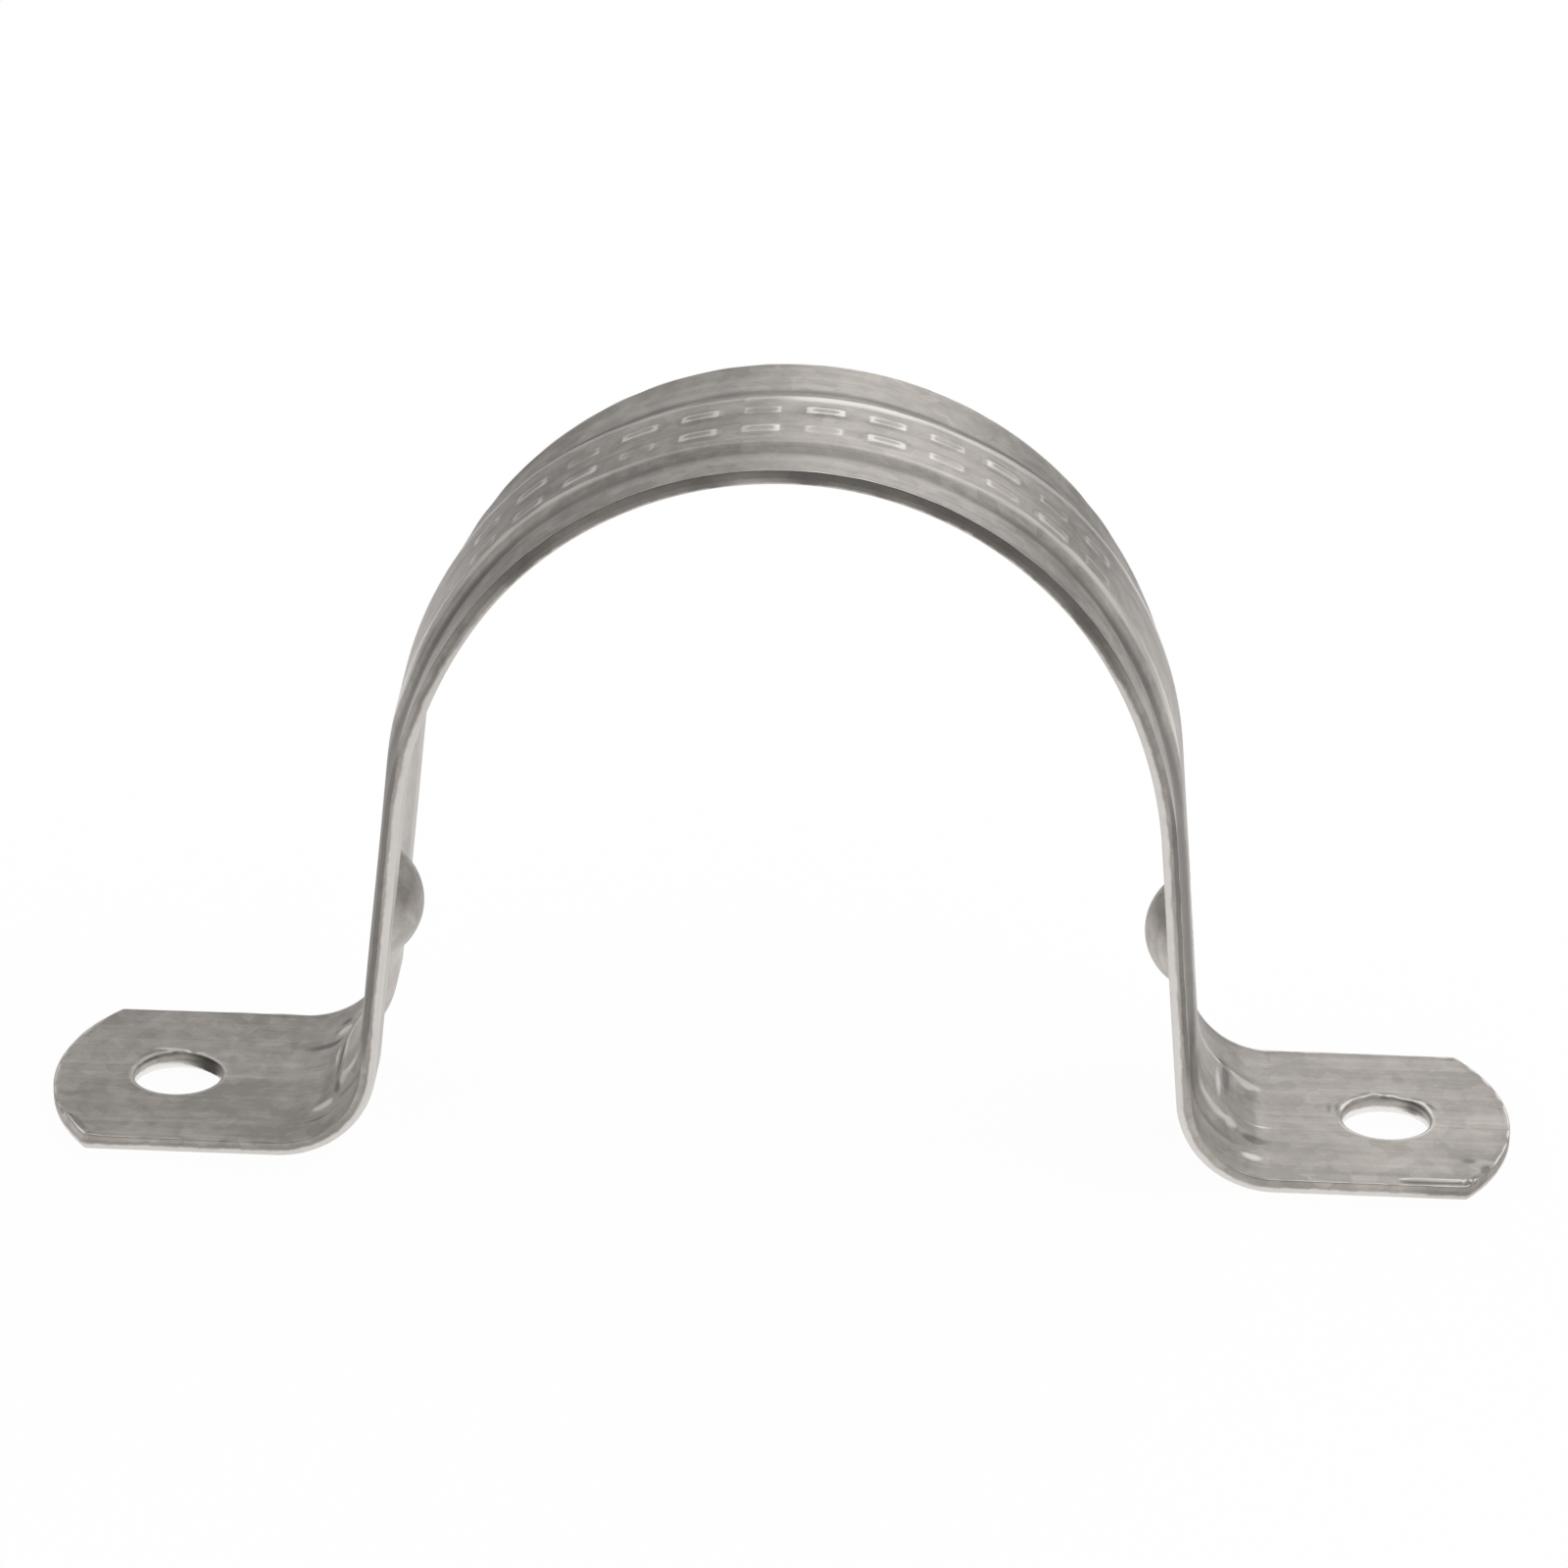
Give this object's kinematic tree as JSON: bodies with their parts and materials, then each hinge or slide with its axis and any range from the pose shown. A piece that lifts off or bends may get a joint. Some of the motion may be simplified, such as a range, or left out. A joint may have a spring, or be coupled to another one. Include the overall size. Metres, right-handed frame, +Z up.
{
  "type": "conduit strap",
  "caption": "Bent sheet-steel strap that goes over a round conduit, with a stiffening rib, gripping dimples and a screw hole in each flat foot.",
  "frame": {"origin": "bottom centre of the bounding box: on the mounting surface, midway between the two feet, below the conduit's axis", "axes": "+X along the strap's length through both screw holes, +Y along the conduit's axis, +Z up from the mounting surface to the crown of the arch"},
  "size_m": [0.1242, 0.0246, 0.0636],
  "materials": {
    "zinc_steel": "galvanised sheet steel, dulled, with faint spangle and scuffs"
  },
  "bodies": {
    "root": {"strap": "zinc_steel"}
  },
  "joints": []
}
